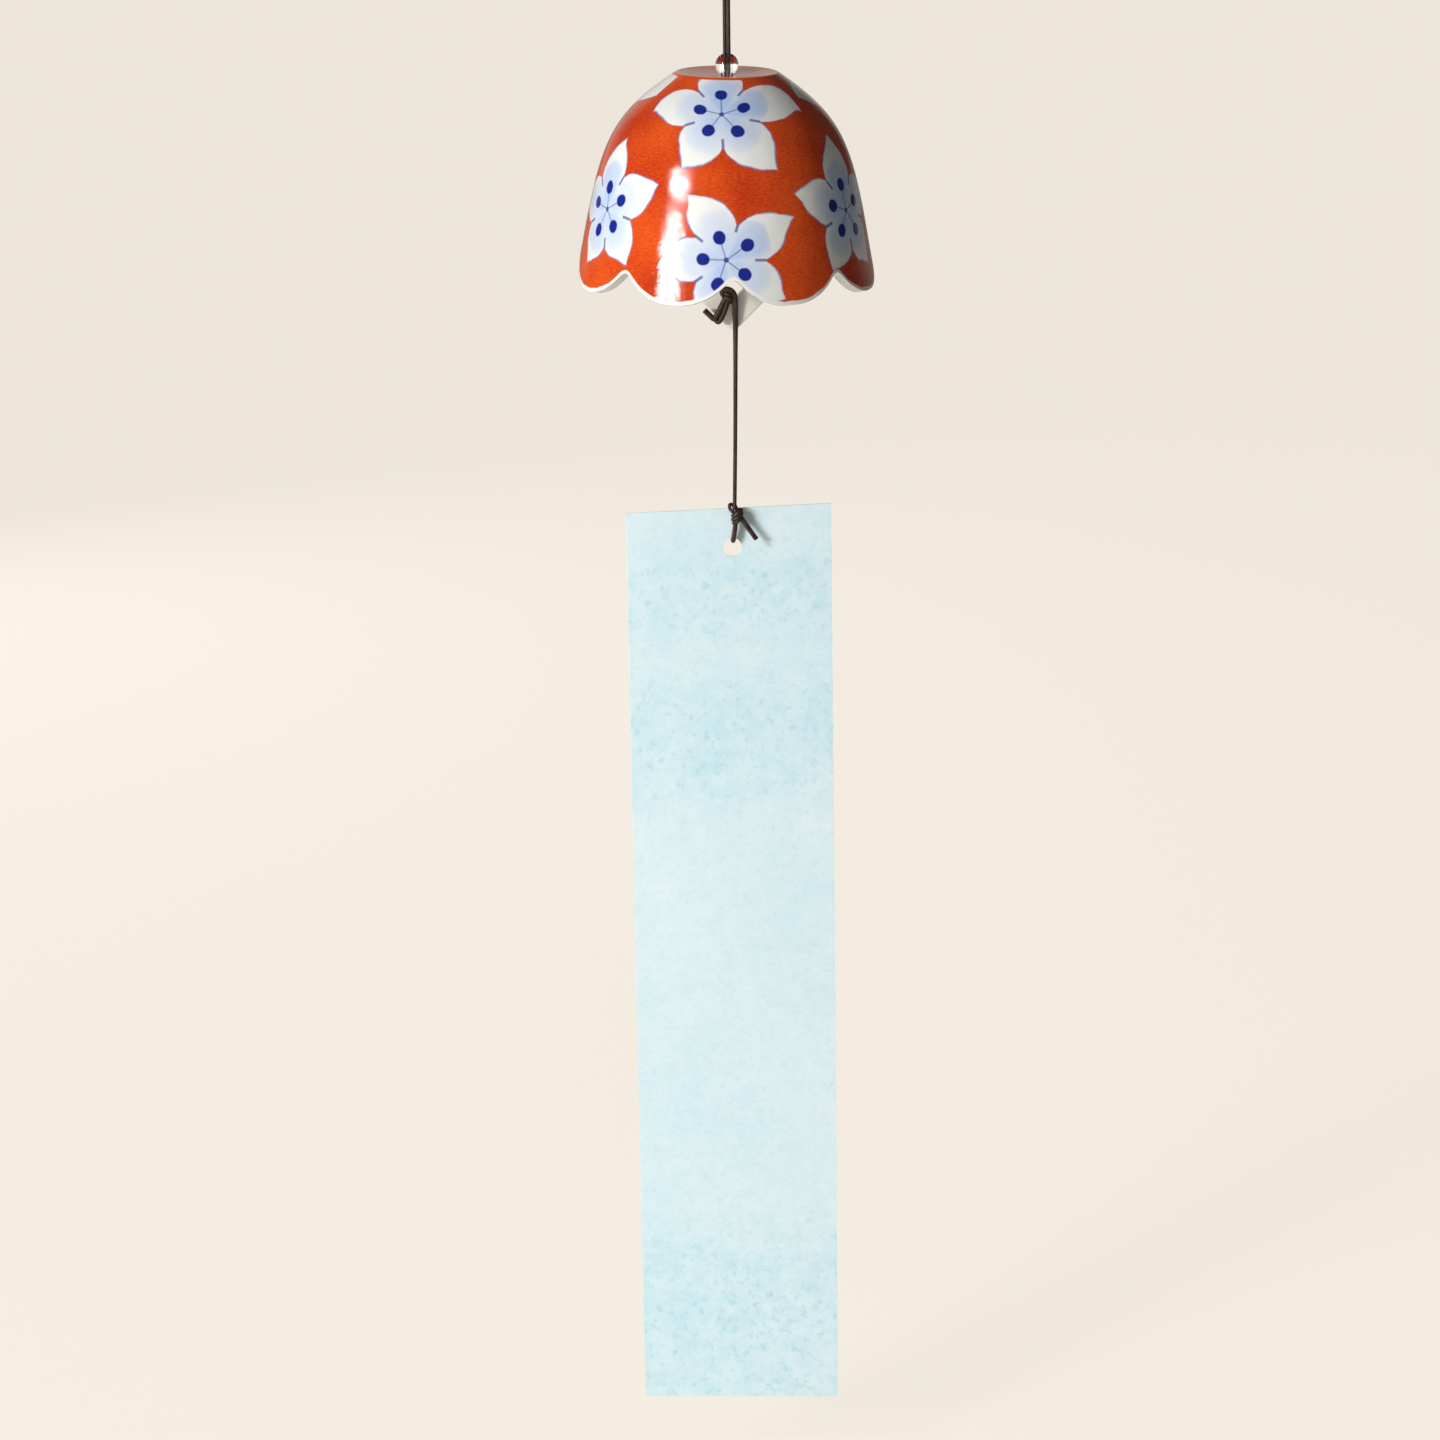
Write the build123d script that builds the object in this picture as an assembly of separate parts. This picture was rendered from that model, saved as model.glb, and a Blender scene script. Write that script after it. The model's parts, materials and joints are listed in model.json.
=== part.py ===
from build123d import *
import os
from math import cos, pi, radians, sin, sqrt

# A hanging wind bell: a scalloped porcelain bell under a glass bead, a square porcelain ring as its clapper,
# and a paper strip on a cord below. Millimetres, +Z up. The origin is the inside top of the hanging eye,
# where a hook bears. +X is to the right of the bell and -Y is its front.

# Cord
cord_diameter = 1.05
strand_spacing = 1.07
bend_gap = 0.45
end_gap = 0.3
tie_clearance = 0.15
fold_radius = 1.2

# Hanging eye, at the fold of the doubled cord
eye_width = 7.2
eye_height = 15.6
eye_throat = 2.0
eye_taper = 8.0
eye_throat_radius = 3.7
eye_side_radius = 12.0
eye_top_radius = 3.5

# Doubled cord between the eye and the bead
upper_run = 9.0
lower_run = 10.0

# Glass bead
bead_diameter = 6.5
bead_bore = 2.6
bead_edge = 0.3
seat_gap = 0.15

# Bell
crown_radius = 14.0
crown_dish = 0.9
crown_wall = 3.3
crown_hole = 4.2
crown_slope = 34.0
shoulder_radius = 29.9
shoulder_drop = 14.0
belly_radius = 37.2
belly_drop = 32.1
rim_radius = 42.6
rim_slope = 77.0
bell_height = 58.4
wall = 3.0

# Scalloped rim
lobe_count = 8
lobe_depth = 8.3
lobe_flat = 0.1
notch_round = 2.0
notch_turn = 2.7

# Stop knot inside the bell
stop_knot_diameter = 6.6
knot_bite = 0.8

# Clapper: a square ring hung on its corner
clapper_side = 21.6
clapper_band = 6.4
clapper_thickness = 5.0
clapper_corner_round = 2.0
clapper_hole_round = 0.8
clapper_edge_round = 0.7
clapper_reach = 14.2
clapper_back = 0.59
line_x = 1.0

# Knots on the clapper, each with a radius and a half height
top_knot_radius = 1.7
top_knot_half = 1.5
top_knot_rise = 2.0
clapper_knot_radius = 1.7
clapper_knot_half = 2.0

# Folded end and cut end at the clapper knot, as x and z from the knot's centre
tail_start = (-0.6, -1.2)
tail_bight = (-4.1, -7.3)
tail_turn = (-5.6, -7.4)
tail_end = (-7.6, -4.2)
tail_radii = [1.2, 1.1]
fold_start = (0.35, -1.75)
fold_end = (-3.15, -7.85)

# Paper strip, with its top edge measured down from the crown
strip_top_drop = 124.8
strip_width = 60.0
strip_length = 285.0
strip_thickness = 0.45
hole_diameter = 5.5
hole_drop = 11.6

# Knot at the strip, and its cut end as x and z from the knot's centre
strip_knot_radius = 1.8
strip_knot_half = 2.6
strip_knot_rise = 0.9
strip_tail_start = (0.5, -1.2)
strip_tail_end = (5.6, -8.2)

# Heights from the hook downwards
cord_radius = cord_diameter / 2
throat_z = cord_radius - eye_height
mid_z = throat_z - upper_run
bead_radius = bead_diameter / 2
bead_z = mid_z - lower_run - bead_radius
hole_radius = crown_hole / 2
crown_z = bead_z + crown_dish - sqrt((bead_radius + seat_gap) ** 2 - hole_radius ** 2)
ceiling_z = crown_z - crown_dish - crown_wall
stop_knot_radius = stop_knot_diameter / 2
stop_knot_z = ceiling_z - sqrt((stop_knot_radius + seat_gap) ** 2 - hole_radius ** 2)
rim_z = crown_z - bell_height

# Clapper, its ties and its knots
cord_clear = tie_clearance + cord_radius
half_thickness = clapper_thickness / 2
clapper_hole_side = clapper_side - 2 * clapper_band
outer_diagonal = clapper_side / sqrt(2) - clapper_corner_round * (sqrt(2) - 1)
inner_diagonal = clapper_hole_side / sqrt(2) - clapper_hole_round * (sqrt(2) - 1)
clapper_z = rim_z - clapper_reach + outer_diagonal
clapper_y = clapper_back
tie_front_y = clapper_y - half_thickness - cord_clear
tie_back_y = clapper_y + half_thickness + cord_clear
tie_bottom_z = clapper_z - outer_diagonal - cord_clear
top_knot_z = clapper_z + outer_diagonal + top_knot_rise
clapper_knot_z = clapper_z - inner_diagonal
clapper_knot_y = clapper_y - half_thickness - tie_clearance - clapper_knot_radius
clapper_pivot_z = stop_knot_z - stop_knot_radius

# Strip and its knot
strip_top_z = crown_z - strip_top_drop
hole_z = strip_top_z - hole_drop
strip_knot_z = strip_top_z + strip_knot_rise - strip_knot_half
lower_cord_y = tie_front_y
lower_cord_top_z = tie_bottom_z - cord_radius
strip_y = lower_cord_y + strip_knot_radius + tie_clearance + strip_thickness / 2


def tube(points, corner_radii):
    """A round cord along straight runs joined by tangent arcs, with the corner radii in order."""
    path = FilletPolyline(*points, radius=corner_radii) if corner_radii else Line(*points)
    section = Plane(origin=path @ 0, z_dir=path % 0) * Circle(cord_radius)
    body = sweep(section, path=path)
    share = body.volume / (pi * cord_radius ** 2 * path.length)
    print("cord run", round(path.length, 2), "mm, radii", corner_radii)
    print("  its volume over section times length", round(share, 4))
    return body


def straight_cord(x, y, top, bottom):
    """A straight upright run of cord."""
    return Pos(x, y, (top + bottom) / 2) * Cylinder(cord_radius, top - bottom)


def strands(top, bottom):
    """The two strands of the doubled cord, side by side."""
    half = strand_spacing / 2
    return Compound([straight_cord(-half, 0, top, bottom), straight_cord(half, 0, top, bottom)])


def knot(x, y, z, radius, half_height):
    """A drawn-up knot, as an egg-shaped solid about its upright axis."""
    return Pos(x, y, z) * scale(Sphere(1), by=(radius, radius, half_height))


def from_knot(x, y, z, place):
    """A point given as x and z from a knot's centre."""
    return (x + place[0], y, z + place[1])


def hanging_eye():
    """The open eye at the fold of the cord, between its two strands."""
    near = strand_spacing / 2
    wide = eye_width / 2
    bottom = throat_z + bend_gap / 2
    rising = [
        (-near, 0, bottom),
        (-near, 0, bottom + eye_throat),
        (-wide, 0, bottom + eye_taper),
        (-wide, 0, cord_radius),
    ]
    falling = [(-x, y, z) for x, y, z in reversed(rising)]
    half_radii = [eye_throat_radius, eye_side_radius, eye_top_radius]
    return tube(rising + falling, half_radii + half_radii[::-1])


def glass_bead():
    """A round bead with a bore for both strands, its bore edges eased."""
    ball = Sphere(bead_radius) - Cylinder(bead_bore / 2, bead_diameter)
    bore = ball.faces().filter_by(GeomType.CYLINDER)
    rims = bore.edges().filter_by(GeomType.CIRCLE)
    return Pos(0, 0, bead_z) * fillet(rims, bead_edge)


def bell_outline():
    """The bell's outer curve from the crown's edge to the rim, with the crown's edge at height 0."""
    crown_angle = radians(crown_slope)
    rim_angle = radians(rim_slope)
    return Spline(
        (crown_radius, 0),
        (shoulder_radius, -shoulder_drop),
        (belly_radius, -belly_drop),
        (rim_radius, -bell_height),
        tangents=((cos(crown_angle), -sin(crown_angle)), (cos(rim_angle), -sin(rim_angle))),
    )


def bell_shell():
    """The bell before its rim is scalloped: an outer solid of revolution less an inner one."""
    outline = bell_outline()
    dish_radius = (crown_radius ** 2 + crown_dish ** 2) / (2 * crown_dish)
    half_way = crown_radius / 2
    half_way_z = dish_radius - crown_dish - sqrt(dish_radius ** 2 - half_way ** 2)
    dish = ThreePointArc((0, -crown_dish), (half_way, half_way_z), (crown_radius, 0))
    foot = Polyline((rim_radius, -bell_height), (0, -bell_height), (0, -crown_dish))
    outer = make_face(dish + outline + foot)
    inner_points = []
    for share in (0, 1 / 4, 1 / 2, 3 / 4, 1):
        place = outline @ share
        along = outline % share
        inner_points.append((place.X + along.Y * wall, place.Y - along.X * wall))
    inner_line = Spline(*inner_points)
    inner_top = inner_line @ 0
    inner_foot = inner_line @ 1
    below = -bell_height - wall
    lid = Polyline(inner_foot, (inner_foot.X, below), (0, below), (0, inner_top.Y), inner_top)
    hollow = revolve(Plane.XZ * make_face(inner_line + lid), axis=Axis.Z)
    ceiling = Plane.XY.offset(-crown_dish - crown_wall)
    hollow = split(hollow, bisect_by=ceiling, keep=Keep.BOTTOM)
    return revolve(Plane.XZ * outer, axis=Axis.Z) - hollow


def notch_cutter():
    """The gap between two lobes, as a prism along -Y: two lobe arcs that meet in a rounded apex.

    The arcs reach lowest a little under the rim, which leaves each lobe a small flat tip.
    """
    half = rim_radius * sin(pi / lobe_count)
    lowest = -bell_height - lobe_flat
    rise = lobe_depth + lobe_flat
    lobe_radius = (half ** 2 + rise ** 2) / (2 * rise)
    part_way = half / 2
    part_way_z = lowest + lobe_radius - sqrt(lobe_radius ** 2 - part_way ** 2)
    apex = (0, lowest + rise)
    left = ThreePointArc((-half, lowest), (part_way - half, part_way_z), apex)
    right = ThreePointArc(apex, (half - part_way, part_way_z), (half, lowest))
    below = lowest - wall
    under = Polyline((half, lowest), (half, below), (-half, below), (-half, lowest))
    gap = make_face(left + right + under)
    gap = fillet(gap.vertices().sort_by(Axis.Y)[-1], notch_round)
    return extrude(Plane.XZ * gap, amount=rim_radius + wall)


def bell():
    """The porcelain bell: shell, crown hole and scalloped rim."""
    body = bell_shell() - Cylinder(hole_radius, 4 * (crown_dish + crown_wall))
    cutter = notch_cutter()
    for index in range(lobe_count):
        body -= Rot(0, 0, notch_turn + index * 360 / lobe_count) * cutter
    return Pos(0, 0, crown_z) * body


def clapper():
    """The square porcelain ring, standing on its corner."""
    ring = RectangleRounded(clapper_side, clapper_side, clapper_corner_round)
    ring -= RectangleRounded(clapper_hole_side, clapper_hole_side, clapper_hole_round)
    body = extrude(Plane.XZ * (Rot(0, 0, 45) * ring), amount=half_thickness, both=True)
    body = fillet(body.faces().filter_by(Axis.Y).edges(), clapper_edge_round)
    return Pos(line_x, clapper_y, clapper_z) * body


def clapper_top_loop():
    """The cord round the clapper's top limb, both ends in the knot above."""
    bottom = clapper_z + inner_diagonal - cord_clear
    shoulder = clapper_z + outer_diagonal + cord_clear
    points = [
        (line_x, -top_knot_radius / 2, top_knot_z),
        (line_x, tie_front_y, shoulder),
        (line_x, tie_front_y, bottom),
        (line_x, tie_back_y, bottom),
        (line_x, tie_back_y, shoulder),
        (line_x, top_knot_radius / 2, top_knot_z),
    ]
    return tube(points, [fold_radius, fold_radius, fold_radius, fold_radius])


def clapper_tie():
    """The cord round the clapper's bottom limb, both ends in the knot in front."""
    top = clapper_knot_z + cord_clear
    points = [
        (line_x, tie_front_y, clapper_knot_z - cord_radius),
        (line_x, tie_front_y, tie_bottom_z),
        (line_x, tie_back_y, tie_bottom_z),
        (line_x, tie_back_y, top),
        (line_x, tie_front_y, top),
    ]
    return tube(points, [fold_radius, fold_radius, fold_radius])


def clapper_tail():
    """The folded end and the cut end that hang out of the clapper knot."""
    centre = (line_x, clapper_knot_y, clapper_knot_z)
    cut_end = [from_knot(*centre, place) for place in (tail_start, tail_bight, tail_turn, tail_end)]
    fold = [from_knot(*centre, place) for place in (fold_start, fold_end)]
    return Compound([tube(cut_end, tail_radii), tube(fold, [])])


def strip_loop():
    """The cord through the punched hole, behind the strip and over its top edge, both ends in the knot."""
    reach = strip_thickness / 2 + cord_clear
    through = hole_z + hole_diameter / 2 - cord_clear
    over = strip_top_z + cord_clear
    points = [
        (line_x, strip_y - reach, strip_knot_z),
        (line_x, strip_y - reach, through),
        (line_x, strip_y + reach, through),
        (line_x, strip_y + reach, over),
        (line_x, lower_cord_y + strip_knot_radius / 3, over),
    ]
    turn = 0.9 * reach
    return tube(points, [turn, turn, turn])


def strip_tail():
    """The cut end that sticks out of the strip knot, in front of the strip."""
    centre = (line_x, lower_cord_y, strip_knot_z)
    return tube([from_knot(*centre, strip_tail_start), from_knot(*centre, strip_tail_end)], [])


def paper_strip():
    """The paper strip with its punched hole."""
    sheet = Pos(0, -strip_length / 2) * Rectangle(strip_width, strip_length)
    sheet -= Pos(0, -hole_drop) * Circle(hole_diameter / 2)
    card = extrude(Plane.XZ * sheet, amount=strip_thickness / 2, both=True)
    return Pos(line_x, strip_y, strip_top_z) * card


def pieces():
    """Every piece of the wind bell under its node's name."""
    strand_end = stop_knot_z + stop_knot_radius - knot_bite
    clapper_cord_end = top_knot_z + top_knot_half + end_gap
    lower_cord_end = strip_knot_z + strip_knot_half + bend_gap
    return {
        "hanging_eye": hanging_eye(),
        "upper_cord": strands(throat_z - bend_gap / 2, mid_z + bend_gap / 2),
        "bell_cord": strands(mid_z - bend_gap / 2, strand_end),
        "glass_bead": glass_bead(),
        "bell": bell(),
        "stop_knot": Pos(0, 0, stop_knot_z) * Sphere(stop_knot_radius),
        "clapper_cord": straight_cord(line_x, 0, clapper_pivot_z - end_gap, clapper_cord_end),
        "clapper_top_knot": knot(line_x, 0, top_knot_z, top_knot_radius, top_knot_half),
        "clapper_top_loop": clapper_top_loop(),
        "clapper": clapper(),
        "clapper_knot": knot(line_x, clapper_knot_y, clapper_knot_z, clapper_knot_radius, clapper_knot_half),
        "clapper_tie": clapper_tie(),
        "clapper_tail": clapper_tail(),
        "lower_cord": straight_cord(line_x, lower_cord_y, lower_cord_top_z - end_gap, lower_cord_end),
        "strip_knot": knot(line_x, lower_cord_y, strip_knot_z, strip_knot_radius, strip_knot_half),
        "strip_loop": strip_loop(),
        "strip_tail": strip_tail(),
        "paper_strip": paper_strip(),
    }


os.makedirs("parts", exist_ok=True)
for name, piece in pieces().items():
    export_step(piece, os.path.join("parts", name + ".step"))

print("joint heights: throat", throat_z, "mid", mid_z, "clapper pivot", clapper_pivot_z)
print("top knot top", top_knot_z + top_knot_half, "lower cord top", lower_cord_top_z)
print("strip knot top", strip_knot_z + strip_knot_half, "lower cord y", lower_cord_y, "strip y", strip_y)
print("crown", crown_z, "rim", rim_z, "clapper centre", clapper_z)
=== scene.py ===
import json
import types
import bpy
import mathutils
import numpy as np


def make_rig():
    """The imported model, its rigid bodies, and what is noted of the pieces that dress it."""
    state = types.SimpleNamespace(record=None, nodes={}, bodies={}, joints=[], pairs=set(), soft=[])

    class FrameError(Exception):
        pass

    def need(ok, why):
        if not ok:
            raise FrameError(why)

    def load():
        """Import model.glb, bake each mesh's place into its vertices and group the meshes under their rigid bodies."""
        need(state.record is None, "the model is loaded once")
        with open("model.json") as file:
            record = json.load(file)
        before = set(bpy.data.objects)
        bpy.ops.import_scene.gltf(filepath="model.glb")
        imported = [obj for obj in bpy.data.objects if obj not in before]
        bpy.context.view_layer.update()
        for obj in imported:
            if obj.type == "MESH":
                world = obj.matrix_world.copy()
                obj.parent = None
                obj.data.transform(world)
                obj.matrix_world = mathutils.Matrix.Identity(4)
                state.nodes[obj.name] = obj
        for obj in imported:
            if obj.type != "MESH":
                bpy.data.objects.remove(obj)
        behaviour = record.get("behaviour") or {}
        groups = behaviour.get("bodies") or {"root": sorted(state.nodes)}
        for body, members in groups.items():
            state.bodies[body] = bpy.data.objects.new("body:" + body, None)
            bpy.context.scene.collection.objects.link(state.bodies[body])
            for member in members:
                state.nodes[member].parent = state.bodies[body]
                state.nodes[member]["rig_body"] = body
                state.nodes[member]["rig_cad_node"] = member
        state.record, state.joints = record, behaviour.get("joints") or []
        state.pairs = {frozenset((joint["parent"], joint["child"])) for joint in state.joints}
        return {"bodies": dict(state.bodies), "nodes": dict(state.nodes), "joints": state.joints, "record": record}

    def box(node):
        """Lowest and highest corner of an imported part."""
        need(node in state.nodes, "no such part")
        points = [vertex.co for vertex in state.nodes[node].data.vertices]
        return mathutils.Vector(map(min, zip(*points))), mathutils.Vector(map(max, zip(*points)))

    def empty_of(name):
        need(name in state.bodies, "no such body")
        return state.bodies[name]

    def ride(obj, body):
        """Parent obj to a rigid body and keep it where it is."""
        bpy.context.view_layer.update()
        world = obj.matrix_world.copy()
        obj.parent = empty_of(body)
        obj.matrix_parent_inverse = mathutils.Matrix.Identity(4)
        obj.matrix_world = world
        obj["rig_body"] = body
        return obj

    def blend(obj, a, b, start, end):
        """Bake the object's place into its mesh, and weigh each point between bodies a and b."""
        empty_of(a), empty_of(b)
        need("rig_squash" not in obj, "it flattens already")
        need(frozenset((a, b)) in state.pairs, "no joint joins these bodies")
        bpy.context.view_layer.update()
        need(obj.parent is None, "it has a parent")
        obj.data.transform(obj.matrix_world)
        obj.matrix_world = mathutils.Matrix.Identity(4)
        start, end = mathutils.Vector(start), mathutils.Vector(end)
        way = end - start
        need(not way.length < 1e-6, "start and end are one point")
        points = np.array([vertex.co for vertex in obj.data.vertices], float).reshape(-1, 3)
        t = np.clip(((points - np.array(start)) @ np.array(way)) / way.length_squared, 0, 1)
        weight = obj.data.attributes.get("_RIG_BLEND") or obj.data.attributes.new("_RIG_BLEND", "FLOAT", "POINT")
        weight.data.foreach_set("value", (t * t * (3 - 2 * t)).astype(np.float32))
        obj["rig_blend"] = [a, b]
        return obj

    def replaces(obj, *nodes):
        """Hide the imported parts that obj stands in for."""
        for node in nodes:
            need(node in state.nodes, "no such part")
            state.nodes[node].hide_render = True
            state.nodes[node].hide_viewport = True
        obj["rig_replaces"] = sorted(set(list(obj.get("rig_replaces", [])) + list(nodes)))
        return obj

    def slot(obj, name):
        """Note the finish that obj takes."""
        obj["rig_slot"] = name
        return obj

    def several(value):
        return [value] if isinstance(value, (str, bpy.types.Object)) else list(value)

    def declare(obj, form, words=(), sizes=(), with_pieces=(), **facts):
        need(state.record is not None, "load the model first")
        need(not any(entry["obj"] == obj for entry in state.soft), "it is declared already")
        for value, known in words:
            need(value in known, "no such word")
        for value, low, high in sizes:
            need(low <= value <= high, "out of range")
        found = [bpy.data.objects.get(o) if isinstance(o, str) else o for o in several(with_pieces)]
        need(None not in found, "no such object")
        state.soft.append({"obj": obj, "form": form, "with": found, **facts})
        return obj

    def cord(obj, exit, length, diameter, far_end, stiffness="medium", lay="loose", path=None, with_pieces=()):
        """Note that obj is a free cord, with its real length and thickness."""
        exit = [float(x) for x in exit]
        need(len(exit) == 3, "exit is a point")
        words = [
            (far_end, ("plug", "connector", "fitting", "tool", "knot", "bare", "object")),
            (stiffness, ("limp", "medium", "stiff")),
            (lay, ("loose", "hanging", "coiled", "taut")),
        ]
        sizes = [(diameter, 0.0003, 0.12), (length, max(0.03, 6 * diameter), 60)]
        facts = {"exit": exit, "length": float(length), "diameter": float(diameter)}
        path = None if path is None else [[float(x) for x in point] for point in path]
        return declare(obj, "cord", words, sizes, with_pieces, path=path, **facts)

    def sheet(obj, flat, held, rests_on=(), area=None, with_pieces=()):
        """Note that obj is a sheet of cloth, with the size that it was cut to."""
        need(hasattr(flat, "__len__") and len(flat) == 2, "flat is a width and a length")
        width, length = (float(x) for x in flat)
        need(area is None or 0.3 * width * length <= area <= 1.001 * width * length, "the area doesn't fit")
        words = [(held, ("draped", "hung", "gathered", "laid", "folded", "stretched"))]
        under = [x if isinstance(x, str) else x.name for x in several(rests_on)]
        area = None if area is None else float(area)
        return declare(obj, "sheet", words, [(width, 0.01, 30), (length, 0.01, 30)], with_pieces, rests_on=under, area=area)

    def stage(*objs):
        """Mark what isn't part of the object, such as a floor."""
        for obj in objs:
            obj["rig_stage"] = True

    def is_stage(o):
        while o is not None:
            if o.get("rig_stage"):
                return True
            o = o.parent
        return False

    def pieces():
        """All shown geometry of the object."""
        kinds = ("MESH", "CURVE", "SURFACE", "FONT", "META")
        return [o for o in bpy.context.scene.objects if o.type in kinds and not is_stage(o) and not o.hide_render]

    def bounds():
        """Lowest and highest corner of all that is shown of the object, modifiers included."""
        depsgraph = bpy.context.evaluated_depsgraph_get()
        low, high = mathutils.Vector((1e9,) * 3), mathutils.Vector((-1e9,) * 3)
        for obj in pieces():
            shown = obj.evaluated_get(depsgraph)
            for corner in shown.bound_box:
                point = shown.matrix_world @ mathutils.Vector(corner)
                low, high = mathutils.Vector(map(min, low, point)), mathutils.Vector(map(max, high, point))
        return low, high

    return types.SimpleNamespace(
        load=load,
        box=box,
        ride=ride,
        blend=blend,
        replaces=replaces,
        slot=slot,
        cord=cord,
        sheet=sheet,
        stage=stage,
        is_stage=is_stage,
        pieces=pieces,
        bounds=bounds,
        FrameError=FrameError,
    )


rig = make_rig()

bl_info = {
    "name": "Wind Bell",
    "version": (1, 0, 0),
    "blender": (4, 5, 0),
    "location": "View3D > Sidebar > Wind Bell",
    "description": "Models a hanging porcelain wind bell with its cords and paper strip over its frame",
    "category": "Add Mesh",
}

import json
import math

import bpy
from bpy.props import FloatProperty, FloatVectorProperty, IntProperty, PointerProperty
from mathutils import Matrix, Vector
from mathutils.geometry import interpolate_bezier

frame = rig.load()
CAD_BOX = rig.bounds()

MM = 0.001
TURN = 2 * math.pi
BELL_LOW, BELL_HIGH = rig.box("bell")
BEAD_LOW, BEAD_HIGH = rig.box("glass_bead")
CLAPPER_LOW, CLAPPER_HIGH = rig.box("clapper")
STRIP_LOW, STRIP_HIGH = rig.box("paper_strip")
JOINT_PLACES = {joint["name"]: joint.get("pos_m") for joint in frame["joints"]}


def length(name, description, default):
    """A length setting."""
    return FloatProperty(
        name=name, description=description, default=default, min=0.0, precision=5, unit="LENGTH"
    )


def angle(name, description, degrees):
    """An angle setting, given in degrees."""
    return FloatProperty(name=name, description=description, default=math.radians(degrees), unit="ROTATION")


def share(name, description, default):
    """A plain number setting."""
    return FloatProperty(name=name, description=description, default=default)


def colour(name, description, default):
    """A colour setting."""
    return FloatVectorProperty(
        name=name, description=description, default=default, subtype="COLOR", min=0.0, max=1.0
    )


class WindBellShell(bpy.types.PropertyGroup):
    """Sizes of the porcelain bell, with heights measured down from the crown's edge."""

    height: length("Height", "From the crown's edge to the tips of the lobes", BELL_HIGH.z - BELL_LOW.z)
    crown_radius: length("Crown radius", "Radius of the flat crown", 14.0 * MM)
    crown_dish: length("Crown dish", "How far the crown sinks towards its hole", 0.9 * MM)
    crown_hole: length("Crown hole", "Radius of the hole for the cord", 2.1 * MM)
    crown_slope: angle("Crown slope", "Slope of the shoulder at the crown's edge", 34.0)
    shoulder_radius: length("Shoulder radius", "Radius at the shoulder", 29.9 * MM)
    shoulder_drop: length("Shoulder drop", "Height of the shoulder below the crown", 14.0 * MM)
    belly_radius: length("Belly radius", "Radius at the belly", 37.2 * MM)
    belly_drop: length("Belly drop", "Height of the belly below the crown", 32.1 * MM)
    rim_radius: length("Rim radius", "Radius at the tips of the lobes", 42.6 * MM)
    rim_slope: angle("Rim slope", "Slope of the wall at the rim", 77.0)
    wall: length("Wall", "Thickness of the wall", 3.0 * MM)
    lip: length("Lip", "Rounding of the rim's two edges", 1.1 * MM)
    lobes: IntProperty(name="Lobes", description="Number of lobes round the rim", default=8, min=3)
    lobe_depth: length("Lobe depth", "Depth of the notches before they are rounded", 8.3 * MM)
    lobe_flat: length("Lobe flat", "How much of each lobe's tip is cut flat", 0.1 * MM)
    notch_round: length("Notch round", "Radius at the top of each notch", 2.0 * MM)
    notch_turn: angle("Notch turn", "Turn of the front notch from the front", 2.7)
    lean: angle("Lean", "How far the bell hangs out of the upright, to the left", 0.9)


class WindBellPaint(bpy.types.PropertyGroup):
    """Colours and sizes of the painted flowers and of the red ground."""

    white: colour("White", "Bare white glaze", (0.83, 0.84, 0.81))
    ground_bright: colour("Bright ground", "Thin brushed red ground", (0.76, 0.10, 0.015))
    ground_deep: colour("Deep ground", "Thick brushed red ground", (0.47, 0.032, 0.005))
    crown_red: colour("Crown red", "Red on the crown", (0.58, 0.055, 0.012))
    wash: colour("Wash", "Pale blue wash in the flowers", (0.40, 0.55, 0.86))
    outline: colour("Outline", "Thin line round the petals", (0.16, 0.17, 0.50))
    cobalt: colour("Cobalt", "Dots and fine lines in the flowers", (0.005, 0.016, 0.24))
    bare_rim: length("Bare rim", "Unpainted white band along the rim", 0.9 * MM)
    dot_reach: length("Dot reach", "From a flower's centre to its dots", 6.6 * MM)
    dot_radius: length("Dot radius", "Radius of a dot", 1.75 * MM)


class WindBellClapper(bpy.types.PropertyGroup):
    """Sizes and colour of the bead and of the square ring clapper."""

    side: length("Side", "Side of the square ring", 21.6 * MM)
    band: length("Band", "Width of the ring's limbs", 6.4 * MM)
    corner: length("Corner", "Rounding of the ring's outer corners", 2.0 * MM)
    hole_corner: length("Hole corner", "Rounding of the hole's corners", 0.8 * MM)
    edge: length("Edge", "Rounding of the ring's front and back edges", 1.3 * MM)
    porcelain: colour("Porcelain", "White porcelain", (0.86, 0.85, 0.79))
    bead_bore: length("Bead bore", "Radius of the bead's bore", 1.3 * MM)
    bead_edge: length("Bead edge", "Rounding of the bore's edges", 0.3 * MM)


class WindBellCord(bpy.types.PropertyGroup):
    """Sizes and colours of the waxed cord."""

    diameter: length("Diameter", "Diameter of the cord", 1.05 * MM)
    spacing: length("Spacing", "Between the two strands' middles", 1.07 * MM)
    # The dark colour is partly painted shade between the cord's threads and partly the darker wax of the cord.
    dark: colour("Dark", "Waxed cord between its threads", (0.008, 0.0038, 0.0028))
    light: colour("Light", "Waxed cord on its threads", (0.064, 0.032, 0.021))


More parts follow.
